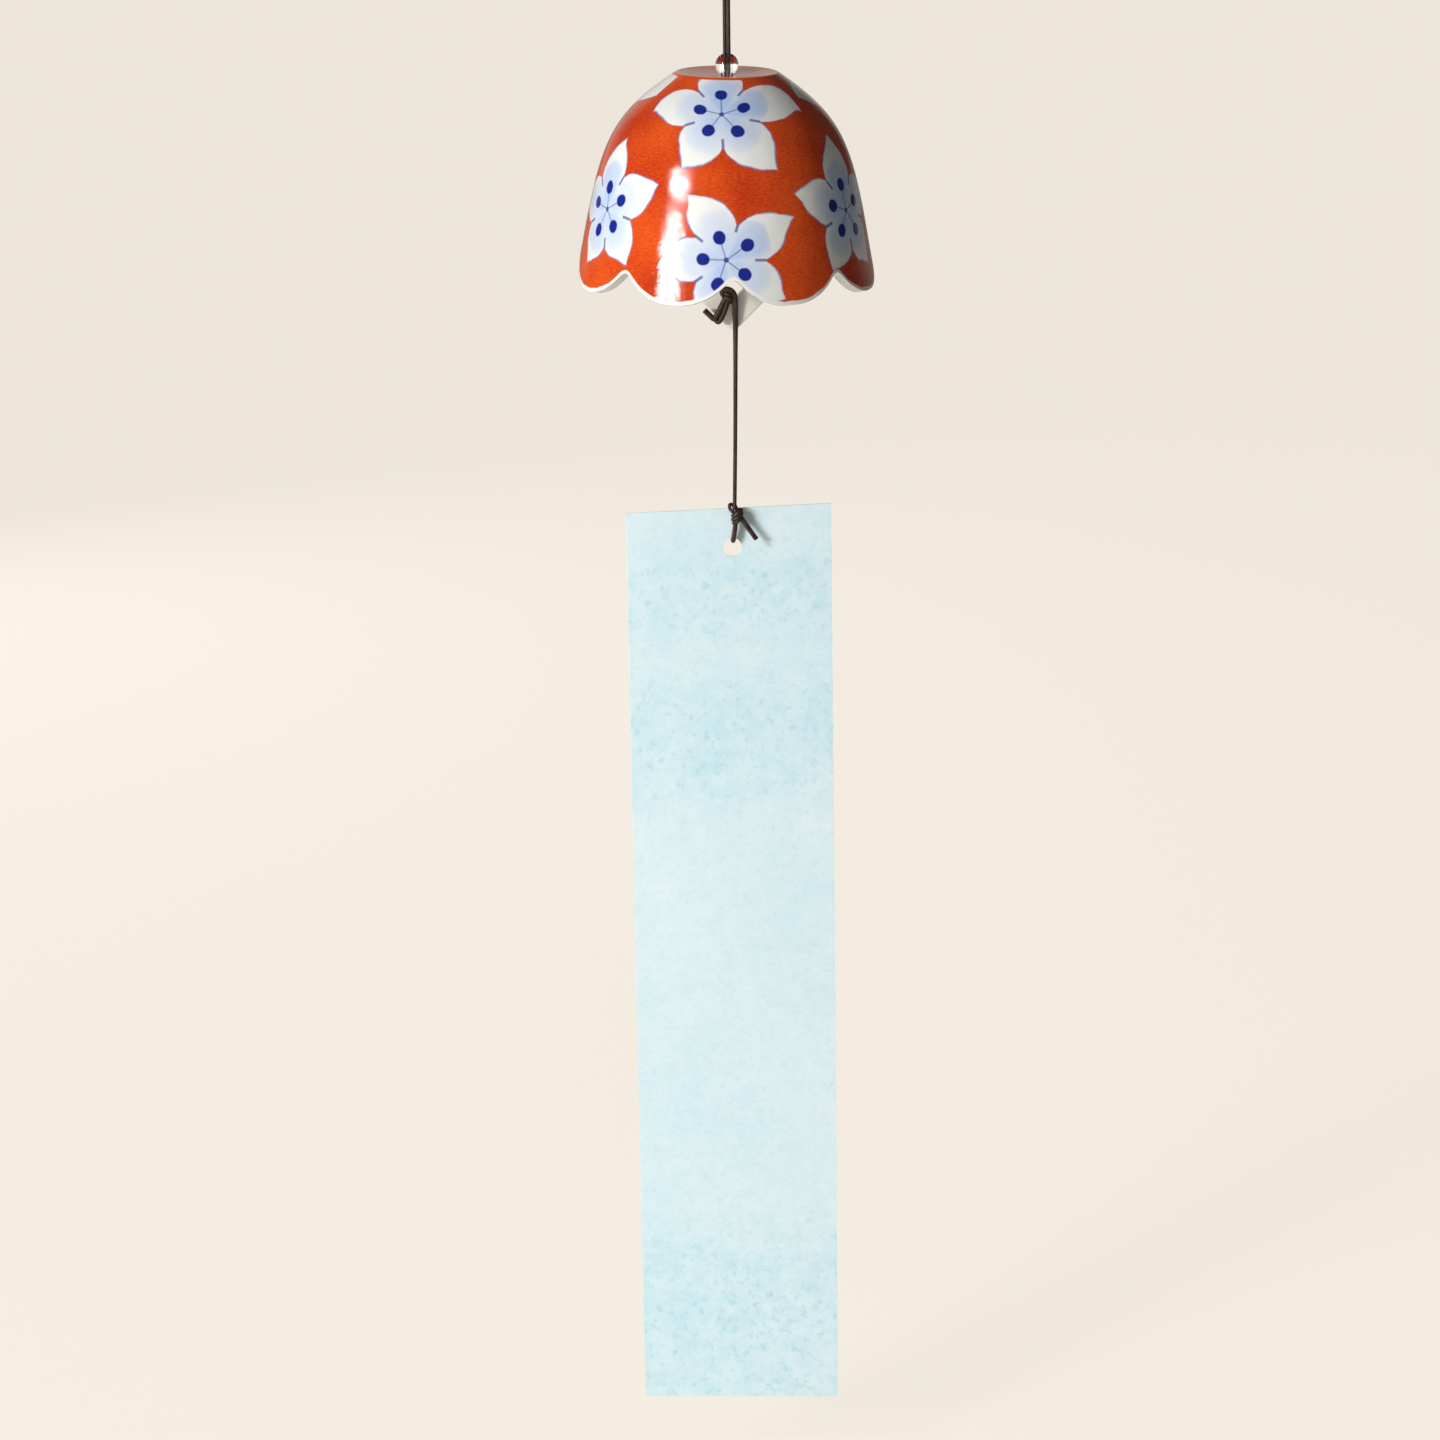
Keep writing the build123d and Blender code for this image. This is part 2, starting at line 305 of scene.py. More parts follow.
class WindBellStrip(bpy.types.PropertyGroup):
    """Sizes and colours of the paper strip."""

    width: length("Width", "Width of the strip", STRIP_HIGH.x - STRIP_LOW.x)
    height: length("Length", "Length of the strip", STRIP_HIGH.z - STRIP_LOW.z)
    thickness: length("Thickness", "Thickness of the paper", 0.45 * MM)
    hole_radius: length("Hole radius", "Radius of the punched hole", 2.75 * MM)
    hole_drop: length("Hole drop", "From the top edge to the hole's middle", 11.6 * MM)
    hole_aside: length("Hole aside", "How far the hole lies to the right of the strip's middle", 0.8 * MM)
    top_aside: length("Top aside", "How far the strip's top hangs to the left", 1.6 * MM)
    foot_aside: length("Foot aside", "How far the strip's foot hangs to the left", 0.2 * MM)
    top_turn: angle("Top turn", "Turn of the strip at its top", 9.5)
    foot_turn: angle("Foot turn", "Turn of the strip at its foot", -1.5)
    pale: colour("Pale", "Palest paper", (0.80, 0.95, 1.0))
    blue: colour("Blue", "Dyed paper", (0.61, 0.87, 0.95))
    fibre: colour("Fibre", "Darker specks and fibres", (0.38, 0.70, 0.80))


class WindBellStage(bpy.types.PropertyGroup):
    """Floor, light and camera."""

    floor: colour("Floor", "Colour of the floor and of the background", (0.95, 0.88, 0.79))
    lamp_watts: FloatProperty(name="Lamp", description="Power of the front lamps", default=19.0, unit="POWER")
    fill: share("Fill", "Strength of the light all round", 0.11)
    lens: share("Lens", "Focal length in millimetres", 88.0)
    pitch: angle("Pitch", "How far the camera looks down", 17.25)
    roll: angle("Roll", "Turn of the camera about its line of sight", -0.6)


class Value:
    """A shader value that takes part in sums: each operation adds a Math node."""

    def __init__(self, shader, socket):
        self.shader = shader
        self.socket = socket

    def math(self, operation, *others):
        """A Math node with this value first."""
        return self.shader.math(operation, self, *others)

    def __add__(self, other):
        return self.math("ADD", other)

    def __sub__(self, other):
        return self.math("SUBTRACT", other)

    def __rsub__(self, other):
        return self.shader.math("SUBTRACT", other, self)

    def __mul__(self, other):
        return self.math("MULTIPLY", other)

    def __truediv__(self, other):
        return self.math("DIVIDE", other)

    def __pow__(self, other):
        return self.math("POWER", other)

    def __abs__(self):
        return self.math("ABSOLUTE")

    __radd__ = __add__
    __rmul__ = __mul__

    def over(self, low, high):
        """0 below low, 1 above high and a smooth rise between them; low may be above high."""
        start, end = (0.0, 1.0) if low < high else (1.0, 0.0)
        ends = {"From Min": min(low, high), "From Max": max(low, high), "To Min": start, "To Max": end}
        settings = {"interpolation_type": "SMOOTHSTEP"}
        node = self.shader.node("ShaderNodeMapRange", settings, {"Value": self, **ends})
        return Value(self.shader, node.outputs["Result"])


class Shader:
    """A material, or the world, under construction."""

    def __init__(self, name, surface="Principled BSDF"):
        owners = bpy.data.worlds if surface == "Background" else bpy.data.materials
        self.owner = owners.new(name)
        self.owner.use_nodes = True
        self.nodes = self.owner.node_tree.nodes
        self.links = self.owner.node_tree.links
        self.surface = self.nodes[surface]

    def node(self, kind, settings=None, inputs=None):
        """A node of this kind with its settings, then the values or links of its sockets."""
        node = self.nodes.new(kind)
        for key, value in (settings or {}).items():
            setattr(node, key, value)
        for key, value in (inputs or {}).items():
            self.feed(node.inputs[key], value)
        return node

    def feed(self, socket, value):
        """Gives a socket a link or a plain value."""
        source = value.socket if isinstance(value, Value) else value
        if isinstance(source, bpy.types.NodeSocket):
            self.links.new(source, socket)
        elif socket.type == "RGBA":
            socket.default_value = (*source[:3], 1.0)
        else:
            socket.default_value = source

    def set(self, **sockets):
        """Feeds the surface's sockets, with their names' spaces written as underscores."""
        for name, value in sockets.items():
            self.feed(self.surface.inputs[name.replace("_", " ")], value)

    def math(self, operation, *values):
        """A Math node on these values."""
        node = self.node("ShaderNodeMath", {"operation": operation}, dict(enumerate(values)))
        return Value(self, node.outputs[0])

    def place(self, kind="Object"):
        """The object coordinates, or another kind."""
        return self.node("ShaderNodeTexCoord").outputs[kind]

    def split(self, vector):
        """The three values of a vector."""
        return [Value(self, part) for part in self.node("ShaderNodeSeparateXYZ", None, {0: vector}).outputs]

    def vector(self, x, y, z):
        """A vector from three values."""
        return self.node("ShaderNodeCombineXYZ", None, {0: x, 1: y, 2: z}).outputs[0]

    def attribute(self, name):
        """A number that the mesh carries."""
        return Value(self, self.node("ShaderNodeAttribute", {"attribute_name": name}).outputs["Fac"])

    def noise(self, vector, scale, detail=3.0, roughness=0.5):
        """Cloudy noise from 0 to 1."""
        inputs = {"Vector": vector, "Scale": scale, "Detail": detail, "Roughness": roughness}
        return Value(self, self.node("ShaderNodeTexNoise", None, inputs).outputs["Fac"])

    def mix(self, factor, first, second):
        """The first colour turned into the second by a factor."""
        first_colour, second_colour, mixed_colour = 6, 7, 2
        inputs = {"Factor": factor, first_colour: first, second_colour: second}
        return self.node("ShaderNodeMix", {"data_type": "RGBA"}, inputs).outputs[mixed_colour]

    def bump(self, height, distance, strength):
        """Puts a bump on the surface."""
        inputs = {"Height": height, "Distance": distance, "Strength": strength}
        self.set(Normal=self.node("ShaderNodeBump", None, inputs).outputs[0])

    def rays(self):
        """Whether the camera or clear glass looks at the surface, and whether a glossy one does."""
        path = self.node("ShaderNodeLightPath").outputs
        names = "Is Camera Ray", "Is Transmission Ray", "Is Glossy Ray"
        camera, glass, glossy = (Value(self, path[name]) for name in names)
        return largest(camera, glass), glossy

    def mix_surfaces(self, factor, first, second):
        """The first surface turned into the second by a factor."""
        inputs = {0: factor, 1: first.outputs[0], 2: second.outputs[0]}
        return self.node("ShaderNodeMixShader", None, inputs)

    def show(self, surface, output):
        """Makes a surface the one that is seen."""
        self.links.new(surface.outputs[0], self.nodes[output].inputs["Surface"])


def largest(first, second):
    """The larger of two values."""
    return first.math("MAXIMUM", second)


def smallest(first, second):
    """The smaller of two values."""
    return first.math("MINIMUM", second)


# Rows of flowers, each with its first flower's turn in degrees and distance down in mm, its spin in degrees,
# its notches' distance from the middle in mm, and for each petal a reach in mm, a bend in degrees and a wash.
FLOWER_ROWS = (
    (-3.8, 14.2, 94, 10.4, (21.0, 22.3, 19.8, 22.9, 26.0), (0, 17, -1, 3, -26), (0.9, 0.1, 0.2, 0.3, 1.0)),
    (59.7, 44.5, 90, 10.6, (21.6, 20.0, 18.6, 19.0, 19.5), (-4, -1, 2, -3, -6), (0.9, 0.3, 0.5, 0.4, 0.1)),
    (-1.2, 55.1, 35, 10.0, (21.8, 20.8, 19.5, 19.0, 19.5), (-5, 16, 9, 0, 3), (0.9, 0.1, 0.2, 0.6, 0.3)),
)
FLOWERS = 3
PETALS = 5
SOFT_EDGE = 0.22 * MM


class FlowerRow:
    """Painted five-petalled flowers round the bell, as masks for the paint."""

    def __init__(self, turn, down, radius, centre_turn, centre_down, spin, notch, reaches, bends, washes):
        flower_pitch = TURN / FLOWERS
        petal_pitch = TURN / PETALS
        offset = turn - math.radians(centre_turn)
        number = (offset / flower_pitch).math("ROUND")
        across = (offset - number * flower_pitch) * radius
        rise = centre_down * MM - down
        self.far = (across * across + rise * rise) ** 0.5
        heading = rise.math("ARCTAN2", across) - math.radians(spin) + (number * 2.1).math("SINE") * 0.2
        petal = (heading / petal_pitch).math("ROUND")
        self.aside = heading - petal * petal_pitch
        self.half = petal_pitch / 2
        self.notch = notch * MM
        # Each petal has its own reach, bend and wash, and the same petal differs from flower to flower.
        count = petal.math("FLOORED_MODULO", PETALS)
        self.chosen = [count.math("COMPARE", index, 0.5) for index in range(PETALS)]
        uneven = (number * (count * 2.6 + 1.3)).math("SINE")
        self.reach = self.picked([reach * MM for reach in reaches]) * (1.0 + 0.07 * uneven)
        self.bend = self.picked([math.radians(bend) for bend in bends]) + 0.1 * uneven
        self.washed = self.picked(washes) * (abs(self.aside) / self.half).over(1.0, 0.55)
        self.lean = (count * 4.3 + number * 2.9 + 1.3).math("SINE")
        self.forward = self.far * self.aside.math("COSINE")
        self.beside = self.far * self.aside.math("SINE")

    def picked(self, values):
        """The one of five values that belongs to the petal."""
        parts = [mask * value for mask, value in zip(self.chosen, values)]
        return sum(parts[1:], parts[0])

    def petals(self, wobble):
        """How far inside the petals' edge a place is."""
        leaning = self.aside - self.bend * (self.far / self.reach) ** 3
        spread = smallest(abs(leaning) / self.half, 1.0)
        shoulder = 1.0 - spread ** 2.0
        tip = (1.0 - spread) ** 5.0
        edge = self.notch + (self.reach - self.notch) * (0.68 * shoulder + 0.32 * tip)
        return edge - self.far + wobble

    def dots(self, reach, radius, wobble):
        """How far inside a dot a place is."""
        away = self.forward - reach * (1.0 + 0.08 * self.lean)
        return radius - ((away * 0.92) ** 2.0 + self.beside * self.beside) ** 0.5 + wobble

    def wash(self, reach, wobble):
        """How strong the blue wash is round the dots and in the heart."""
        away = ((self.forward - reach * 1.05) ** 2.0 + self.beside * self.beside) ** 0.5
        away = away + wobble * 1.4
        blot = away.over(8.4 * MM, 3.6 * MM) * 0.5 + away.over(6.9 * MM, 6.3 * MM) * self.washed * 0.42
        return blot + self.far.over(9.0 * MM, 1.0 * MM) * 0.38

    def fine_lines(self, reach):
        """The stems to the dots, the eye and the short ticks between the petals."""
        stem = abs(self.beside).over(0.30 * MM, 0.08 * MM) * self.forward.over(reach, reach - 0.6 * MM)
        stem = largest(stem * 0.6, self.far.over(0.95 * MM, 0.55 * MM) * 0.9)
        between = (self.half - abs(self.aside)) * self.far
        tick = between.over(0.55 * MM, 0.25 * MM) * self.far.over(7.6 * MM, 8.2 * MM)
        tick = tick * self.far.over(11.4 * MM, 10.8 * MM)
        return largest(stem, tick * 0.75)


def bell_paint(paint):
    """White glaze with a brushed red ground and three rings of blue and white flowers."""
    shader = Shader("flower_glaze")
    where = shader.place()
    x, y, _ = shader.split(where)
    down = shader.attribute("down")
    rim = shader.attribute("rim")
    turn = x.math("ARCTAN2", 0.0 - y)
    radius = (x * x + y * y) ** 0.5
    wobble = (shader.noise(where, 260.0, 2.0) - 0.5) * (1.6 * MM)
    sway = wobble + (shader.noise(where, 85.0, 1.0) - 0.5) * (3.2 * MM)
    water = 0.7 + 0.6 * shader.noise(where, 150.0, 3.0)
    patchy = 0.35 + 0.65 * shader.noise(where, 130.0, 2.0).over(0.35, 0.6)
    rows = []
    for settings in FLOWER_ROWS:
        row = FlowerRow(turn, down, radius, *settings)
        inside = row.petals(sway).math("SMOOTH_MIN", (down - 0.7 * MM) * 1.6, 4.0 * MM)
        rows.append((
            inside.over(-SOFT_EDGE, SOFT_EDGE),
            abs(inside).over(0.55 * MM, 0.18 * MM) * patchy,
            row.wash(paint.dot_reach, wobble) * water,
            row.dots(paint.dot_reach, paint.dot_radius, wobble * 0.5).over(-SOFT_EDGE, SOFT_EDGE),
            row.fine_lines(paint.dot_reach),
        ))
    petal, line, wash, ink, vein = rows[0]
    for new_petal, new_line, new_wash, new_ink, new_vein in rows[1:]:
        # A row covers what an earlier row has painted.
        bare = 1.0 - new_petal
        petal = largest(petal, new_petal)
        line = largest(line * bare, new_line)
        wash = largest(wash * bare, new_wash * new_petal)
        ink = largest(ink * bare, new_ink)
        vein = largest(vein * bare, new_vein)
    strokes = shader.noise(shader.vector(turn * 14.0, down * 900.0, 0.0), 2.2, 4.0, 0.62)
    cloud = shader.noise(where, 42.0, 3.0, 0.55)
    thin = (strokes * 0.65 + cloud * 0.75).over(0.46, 0.92)
    ground = shader.mix(thin, paint.ground_deep, paint.ground_bright)
    ground = shader.mix(down.over(0.3 * MM, -0.4 * MM), ground, paint.crown_red)
    # A pale line along the crown's edge, mixed part way to white: a painted reflection of the pale background on the
    # rounded edge.
    ground = shader.mix(abs(down + 0.15 * MM).over(0.55 * MM, 0.1 * MM) * 0.55, ground, paint.white)
    below_crown = down.over(0.9 * MM, 1.5 * MM)
    painted = shader.mix(petal * below_crown, ground, paint.white)
    painted = shader.mix(smallest(wash * 0.8, 0.85) * petal * below_crown, painted, paint.wash)
    painted = shader.mix(line * 0.62 * below_crown, painted, paint.outline)
    painted = shader.mix(vein * petal * below_crown, painted, paint.cobalt)
    painted = shader.mix(ink * petal * (0.975 + 0.025 * cloud), painted, paint.cobalt)
    edge = paint.bare_rim + wobble * 0.7
    painted = shader.mix((rim - edge).over(0.25 * MM, -0.25 * MM), painted, paint.white)
    shader.set(Base_Color=painted, Roughness=0.05 + 0.05 * strokes, Coat_Weight=0.25, Coat_Roughness=0.03)
    ripple = shader.noise(where, 75.0, 2.0) + 0.6 * shader.noise(where, 230.0, 2.0)
    shader.bump(ripple + 0.2 * strokes * (1.0 - petal), 0.22 * MM, 0.8)
    return shader.owner


def white_glaze(name, tone):
    """White glazed porcelain, a little uneven."""
    shader = Shader(name)
    where = shader.place()
    cloud = shader.noise(where, 90.0, 3.0)
    specks = shader.noise(where, 1500.0, 1.0).over(0.74, 0.80)
    shade = tuple(part * factor for part, factor in zip(tone, (0.93, 0.91, 0.86)))
    shader.set(Base_Color=shader.mix(cloud.over(0.35, 0.7) * 0.6 + specks * 0.4, tone, shade))
    shader.set(Roughness=0.12 + 0.12 * cloud, Coat_Weight=0.3, Coat_Roughness=0.06)
    shader.bump(cloud, 0.25 * MM, 0.5)
    return shader.owner


def clear_glass():
    """Clear glass with faint drawn waves."""
    shader = Shader("bead_glass")
    where = shader.place()
    shader.set(Base_Color=(0.97, 0.98, 0.98), Transmission_Weight=1.0, IOR=1.5)
    shader.set(Roughness=shader.noise(where, 500.0) * 0.03)
    shader.bump(shader.noise(where, 380.0, 1.0), 0.08 * MM, 0.6)
    return shader.owner


def waxed_cord(cord):
    """Waxed cord: fine threads that wind round it, with painted shade between them, and dull and shiny places."""
    shader = Shader("braided_cord")
    _, around, _ = shader.split(shader.node("ShaderNodeUVMap", {"uv_map": "UVMap"}).outputs[0])
    along = shader.attribute("run") / cord.diameter
    left = ((along * 0.9 + around * 3.0) * TURN).math("SINE")
    right = ((along * 0.9 - around * 3.0) * TURN).math("SINE")
    braid = largest(left, right) * 0.5 + 0.5
    wear = shader.noise(shader.place(), 700.0, 3.0)
    # Where the braid pattern is low the colour goes dark: painted shade in the grooves between the threads; the wear
    # mixes in real darker and lighter wax.
    shader.set(Base_Color=shader.mix(braid * 0.45 + wear.over(0.35, 0.75) * 0.55, cord.dark, cord.light))
    shader.set(Roughness=0.3 + 0.3 * wear, Specular_IOR_Level=0.4)
    shader.bump(braid * 0.6 + wear * 0.8, 0.12 * MM, 0.7)
    return shader.owner


def dyed_paper(strip):
    """Handmade paper dyed pale blue, clouded and speckled with fibres."""
    shader = Shader("dyed_paper")
    where = shader.place()
    x, y, z = shader.split(where)
    cloud = shader.noise(where, 24.0, 4.0, 0.6)
    blotch = shader.noise(where, 150.0, 5.0, 0.68)
    grain = shader.noise(where, 700.0, 4.0, 0.65)
    # Speckled bands near the top, above the middle and at the foot.
    drop = STRIP_HIGH.z - z
    first = abs(drop - 26.0 * MM).over(20.0 * MM, 4.0 * MM)
    second = abs(drop - 70.0 * MM).over(28.0 * MM, 8.0 * MM)
    foot = (drop - 215.0 * MM).over(0.0, 30.0 * MM)
    speckled = largest(largest(first, second), foot)
    fibres = shader.noise(shader.vector(x, y, z * 0.85), 430.0, 5.0, 0.66)
    specks = fibres.over(0.52, 0.70) * (0.25 + 0.75 * speckled)
    tint = blotch.over(0.36, 0.66) * (0.25 + 0.3 * speckled)
    tint = tint + cloud.over(0.3, 0.7) * 0.3 + speckled * 0.14
    body = shader.mix(tint, strip.pale, strip.blue)
    shader.set(Base_Color=shader.mix(specks * 0.5 + grain.over(0.48, 0.75) * 0.2, body, strip.fibre))
    shader.set(Roughness=0.72 + 0.2 * grain, Specular_IOR_Level=0.25)
    shader.bump(grain * 0.6 + fibres * 0.5, 0.10 * MM, 0.6)
    return shader.owner


def leave_edit_mode():
    """Goes back to object mode."""
    bpy.ops.object.mode_set(mode="OBJECT")


def deselect():
    """Leaves edit mode with nothing selected."""
    if bpy.context.object and bpy.context.object.mode != "OBJECT":
        leave_edit_mode()
    bpy.ops.object.select_all(action="DESELECT")


def pick(*objects):
    """Selects only these objects, with the first one active."""
    deselect()
    for obj in objects:
        obj.select_set(True)
    bpy.context.view_layer.objects.active = objects[0]


def edit(obj, select_by="VERT"):
    """Goes to edit mode with the whole mesh selected."""
    pick(obj)
    bpy.ops.object.mode_set(mode="EDIT")
    bpy.ops.mesh.select_mode(type=select_by)
    bpy.ops.mesh.select_all(action="SELECT")


def select_where(obj, items, test):
    """Selects, in edit mode, only the vertices or the edges that pass a test."""
    bpy.ops.mesh.select_all(action="DESELECT")
    leave_edit_mode()
    found = [item for item in getattr(obj.data, items) if test(item)]
    if not found:
        raise RuntimeError(obj.name + ": nothing was found to work on")
    for item in found:
        item.select = True
    bpy.ops.object.mode_set(mode="EDIT")


def named(name):
    """The object that an operator has just added, under its own name."""
    obj = bpy.context.object
    obj.name = name
    obj.data.name = name
    return obj


def settle(obj):
    """Puts the object's place, turn and size into its mesh."""
    pick(obj)
    bpy.ops.object.transform_apply(location=True, rotation=True, scale=True)


def shaped(obj, kind, **settings):
    """Adds a modifier to an object and applies it."""
    pick(obj)
    modifier = obj.modifiers.new(kind.title(), kind)
    for key, value in settings.items():
        setattr(modifier, key, value)
    bpy.ops.object.modifier_apply(modifier=modifier.name)


def rounded(obj, width, segments, degrees, **settings):
    """Bevels the edges that are sharper than an angle."""
    sharp = {"limit_method": "ANGLE", "angle_limit": math.radians(degrees)}
    shaped(obj, "BEVEL", width=width, segments=segments, **sharp, **settings)


def face_outwards(obj):
    """Merges doubles and turns the faces outwards."""
    edit(obj)
    bpy.ops.mesh.remove_doubles(threshold=1e-6)
    bpy.ops.mesh.normals_make_consistent(inside=False)
    leave_edit_mode()


def smooth(obj, degrees):
    """Smooth shading apart from edges sharper than an angle."""
    pick(obj)
    bpy.ops.object.shade_smooth_by_angle(angle=math.radians(degrees))


def dress(obj, slot, *materials):
    """Gives a piece its materials and names its slot in the record."""
    for index, material in enumerate(materials):
        if index < len(obj.data.materials):
            obj.data.materials[index] = material
        else:
            obj.data.materials.append(material)
    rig.slot(obj, slot)


def bell_outline(shell):
    """Radius and height from the crown's edge to the rim, on one smooth line through four places."""
    places = [
        Vector((shell.crown_radius, 0.0, 0.0)),
        Vector((shell.shoulder_radius, -shell.shoulder_drop, 0.0)),
        Vector((shell.belly_radius, -shell.belly_drop, 0.0)),
        Vector((shell.rim_radius, -shell.height, 0.0)),
    ]
    steps = [after - before for before, after in zip(places, places[1:])]
    runs = [step.length for step in steps]
    first = Vector((math.cos(shell.crown_slope), -math.sin(shell.crown_slope), 0.0))
    last = Vector((math.cos(shell.rim_slope), -math.sin(shell.rim_slope), 0.0))
    # The two inner slopes make the line's curvature run on through the inner places.
    near = 3 * (steps[0] / runs[0] ** 2 + steps[1] / runs[1] ** 2) - first / runs[0]
    far = 3 * (steps[1] / runs[1] ** 2 + steps[2] / runs[2] ** 2) - last / runs[2]
    weight = 2 / runs[0] + 2 / runs[1]
    other = 2 / runs[1] + 2 / runs[2]
    cross = 1 / runs[1]
    whole = weight * other - cross ** 2
    slopes = [first, (near * other - far * cross) / whole, (far * weight - near * cross) / whole, last]
    line = []
    fineness = 60
    for index, run in enumerate(runs):
        start, end = places[index], places[index + 1]
        handles = start + slopes[index] * run / 3, end - slopes[index + 1] * run / 3
        # Each run but the last leaves its end to the next one.
        line += interpolate_bezier(start, *handles, end, fineness)[: None if index == 2 else -1]
    return [(point.x, point.y) for point in line]


class Outline:
    """The bell's outline measured along its surface, down from the crown's edge."""

    def __init__(self, shell):
        self.shell = shell
        self.points = bell_outline(shell)
        self.runs = [0.0]
        for before, after in zip(self.points, self.points[1:]):
            self.runs.append(self.runs[-1] + math.dist(before, after))
        self.total = self.runs[-1]

    def at(self, down):
        """Radius and height at a distance down the surface, or on the dish where it is negative."""
        if down < 0:
            radius = self.shell.crown_radius + down
            sag = self.shell.crown_dish
            ball = (self.shell.crown_radius ** 2 + sag ** 2) / (2 * sag)
            return radius, ball - sag - math.sqrt(ball ** 2 - radius ** 2)
        index = 1
        while index < len(self.runs) - 1 and self.runs[index] < down:
            index += 1
        part = (down - self.runs[index - 1]) / (self.runs[index] - self.runs[index - 1])
        before, after = self.points[index - 1], self.points[index]
        return before[0] + (after[0] - before[0]) * part, before[1] + (after[1] - before[1]) * part

    def rim_height(self, aside):
        """Height of the scalloped rim at a distance aside of a notch's middle."""
        shell = self.shell
        half = shell.rim_radius * math.sin(math.pi / shell.lobes)
        rise = shell.lobe_depth + shell.lobe_flat
        lobe = (half ** 2 + rise ** 2) / (2 * rise)
        middle = lobe - shell.height - shell.lobe_flat
        round_middle = middle - math.sqrt((lobe + shell.notch_round) ** 2 - half ** 2)
        if aside < half * shell.notch_round / (lobe + shell.notch_round):
            return round_middle + math.sqrt(shell.notch_round ** 2 - aside ** 2)
        height = middle - math.sqrt(max(0.0, lobe ** 2 - (half - min(aside, half)) ** 2))
        return max(height, -shell.height)

    def rim(self, turn):
        """How far down the surface the rim lies at a turn from the front."""
        pitch = TURN / self.shell.lobes
        aside = (turn - self.shell.notch_turn + pitch / 2) % pitch - pitch / 2
        down = self.total
        # The rim's radius and its height depend on each other, so both are found by narrowing down.
        for _ in range(4):
            height = self.rim_height(abs(self.at(down)[0] * math.sin(aside)))
            low, high = 0.0, self.total
            for _ in range(24):
                half = (low + high) / 2
                if self.at(half)[1] > height:
                    low = half
                else:
                    high = half
            down = (low + high) / 2
        return down


class WINDBELL_OT_bell(bpy.types.Operator):
    """Models the scalloped porcelain bell and paints it"""

    bl_idname = "windbell.bell"
    bl_label = "Bell"

    columns = 240
    wall_rings = 30

    def rings(self, shell, outline):
        """Distances down the surface of the bell's rings, from the hole to the rim."""
        dish = shell.crown_hole - shell.crown_radius
        on_dish = [dish * part for part in (1.0, 0.97, 0.75, 0.5, 0.25, 0.06, 0.02)]
        below_edge = [0.25 * MM, 0.9 * MM]
        on_wall = [outline.total * step / self.wall_rings for step in range(1, self.wall_rings + 1)]
        return on_dish + below_edge + on_wall

    def execute(self, context):
        shell = context.scene.wind_bell_shell
        outline = Outline(shell)
        crown = BELL_HIGH.z
        downs = self.rings(shell, outline)
        radius, height = outline.at(downs[0])
        deselect()
        bpy.ops.mesh.primitive_circle_add(
            vertices=self.columns, radius=radius, location=(0, 0, crown + height),
            rotation=(0, 0, shell.notch_turn),
        )
        bell = named("porcelain_bell")
        settle(bell)
        edit(bell)
        for down in downs[1:]:
            wider, lower = outline.at(down)
            bpy.ops.mesh.extrude_edges_move(TRANSFORM_OT_translate={"value": (0, 0, lower - height)})
            bpy.ops.transform.resize(value=(wider / radius, wider / radius, 1), center_override=(0, 0, crown))
            radius, height = wider, lower
        leave_edit_mode()
        self.scallop(bell, shell, outline, downs, crown)
        self.thicken(bell, shell)
        paint = context.scene.wind_bell_paint
        dress(bell, "painted_porcelain", bell_paint(paint), white_glaze("inner_glaze", tuple(paint.white)))
        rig.replaces(bell, "bell")
        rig.ride(bell, "bell")
        return {"FINISHED"}

    def scallop(self, bell, shell, outline, downs, crown):
        """Draws the columns up to the scalloped rim and notes each place's distance down and from the rim."""
        heights = {round(outline.at(down)[1], 7): down for down in downs if down >= 0}
        begin = 0.35 * outline.total
        rims, values = {}, []
        for vertex in bell.data.vertices:
            x, y, z = vertex.co
            turn = math.atan2(x, -y)
            key = round(turn, 4)
            if key not in rims:
                rims[key] = outline.rim(turn)
            if math.hypot(x, y) < shell.crown_radius - 1e-6:
                values.append((math.hypot(x, y) - shell.crown_radius, rims[key]))
                continue
            down = min(heights.items(), key=lambda item: abs(item[0] - (z - crown)))[1]
            drawn = max(0.0, (down - begin) / (outline.total - begin)) ** 2
            down -= (outline.total - rims[key]) * drawn
            wide, low = outline.at(down)
            vertex.co = (wide * math.sin(turn), -wide * math.cos(turn), crown + low)
            values.append((down, rims[key] - down))
        for name, column in (("down", 0), ("rim", 1)):
            attribute = bell.data.attributes.new(name, "FLOAT", "POINT")
            attribute.data.foreach_set("value", [value[column] for value in values])

    def thicken(self, bell, shell):
        """Gives the wall its thickness, with a second material inside, and rounds the rim."""
        face_outwards(bell)
        rightmost = max(bell.data.polygons, key=lambda face: face.center.x)
        if rightmost.normal.x < 0:
            edit(bell)
            bpy.ops.mesh.flip_normals()
            leave_edit_mode()
        outside, inside = None, None
        bell.data.materials.append(outside)
        bell.data.materials.append(inside)
        shaped(
            bell, "SOLIDIFY", thickness=shell.wall, offset=-1.0, use_even_offset=True,
            material_offset=1, material_offset_rim=1,
        )
        rounded(bell, shell.lip, 3, 55, loop_slide=True)
        shaped(bell, "SUBSURF", levels=1, render_levels=1)
        smooth(bell, 60)
        hole = Matrix.Translation((0, 0, BELL_HIGH.z))
        bell.data.transform(hole @ Matrix.Rotation(shell.lean, 4, "Y") @ hole.inverted())


